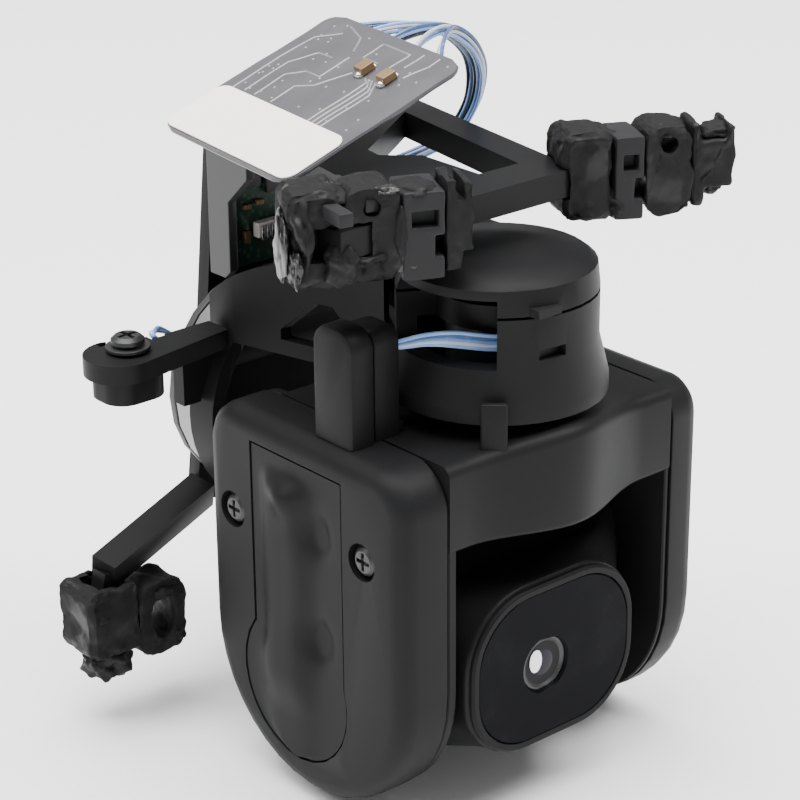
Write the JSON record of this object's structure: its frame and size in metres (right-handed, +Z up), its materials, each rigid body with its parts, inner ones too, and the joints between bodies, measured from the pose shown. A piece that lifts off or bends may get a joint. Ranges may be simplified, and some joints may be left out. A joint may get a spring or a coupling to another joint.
{
  "type": "camera gimbal",
  "caption": "Small three-axis camera gimbal on a rubber-mounted frame: roll arm, pan motor drum and a U-shaped yoke that tilts a camera pod with a round-cornered window.",
  "frame": {"origin": "on the pan axis, on the top face of the damper frame's front bar", "axes": "+Z up along the pan axis, away from the camera; X across the yoke, parallel to the tilt axis; -Y the side the lens faces, parallel to the roll axis"},
  "size_m": [0.0616, 0.0572, 0.0788],
  "materials": {
    "frame_plastic": "satin moulded black",
    "arm_plastic": "fine-grain moulded charcoal",
    "pod_plastic": "smooth satin charcoal",
    "rubber": "matt black rubber",
    "clip_plastic": "satin grey-black",
    "cast_metal": "fine satin grey paint",
    "steel": "bright machined",
    "dark_steel": "blackened",
    "winding": "enamelled copper wire",
    "board_green": "solder mask",
    "flex": "satin polyimide film",
    "label": "matt paper",
    "solder": "dull tinned gold",
    "window": "polished near-black glass",
    "rim": "satin grey anodised",
    "lens": "coated glass",
    "wire": "light blue insulation",
    "tape": "matt cloth tape",
    "connector": "ivory nylon"
  },
  "bodies": {
    "root": {"damper_frame": "frame_plastic", "right_damper_block": "rubber", "right_damper_clip": "clip_plastic", "right_damper_loop": "rubber", "right_damper_hook": "rubber", "left_damper_block": "rubber", "left_damper_clip": "clip_plastic", "left_damper_loop": "rubber", "left_damper_hook": "rubber", "lower_left_shoe": "rubber", "lower_left_eyelet": "rubber", "lower_right_shoe": "rubber", "lower_right_eyelet": "rubber", "rear_bracket": "cast_metal", "control_board": "board_green", "board_connector": "connector", "roll_motor_base": "cast_metal", "roll_stator": "winding", "roll_bearing": "steel", "flex_board": "flex", "board_label": "label", "board_chip_1": "solder", "board_chip_2": "solder", "upper_cable": "wire", "cable_plug": "connector", "cable_tape": "tape"},
    "roll_stage": {"roll_motor_bell": "steel", "roll_magnets": "dark_steel", "roll_shaft": "steel", "roll_arm": "arm_plastic", "pan_housing": "arm_plastic", "pan_lid": "arm_plastic", "pan_stator": "winding", "pan_bearing": "steel", "cable_clamp": "arm_plastic", "clamp_washer": "dark_steel", "clamp_screw": "dark_steel"},
    "pan_stage": {"pan_motor_bell": "steel", "pan_shaft": "steel", "yoke_frame": "arm_plastic", "left_arm_cover": "arm_plastic", "keyhole_panel": "arm_plastic", "cover_screw_1": "dark_steel", "cover_screw_2": "dark_steel", "right_arm_cover": "arm_plastic", "tower_front": "arm_plastic", "tower_rear": "arm_plastic", "tilt_stator": "winding", "pivot_bearing": "steel", "pan_cable": "wire"},
    "tilt_stage": {"tilt_shaft": "steel", "tilt_hub": "steel", "pivot_pin": "steel", "pod_front_shell": "pod_plastic", "pod_rear_shell": "pod_plastic", "window_rim": "rim", "window_glass": "window", "lens_barrel": "pod_plastic", "lens_element": "lens", "sensor_board": "board_green"}
  },
  "joints": [
    {"name": "roll", "type": "hinge", "parent": "root", "child": "roll_stage", "pos_m": [0, 0.0344, -0.0327], "axis": [0, 1, 0], "range_deg": [-20, 20]},
    {"name": "pan", "type": "hinge", "parent": "roll_stage", "child": "pan_stage", "pos_m": [0, 0, -0.0222], "axis": [0, 0, 1], "range_deg": [-30, 30]},
    {"name": "tilt", "type": "hinge", "parent": "pan_stage", "child": "tilt_stage", "pos_m": [0, 0.0068, -0.0502], "axis": [-1, 0, 0], "range_deg": [-90, 24]}
  ]
}
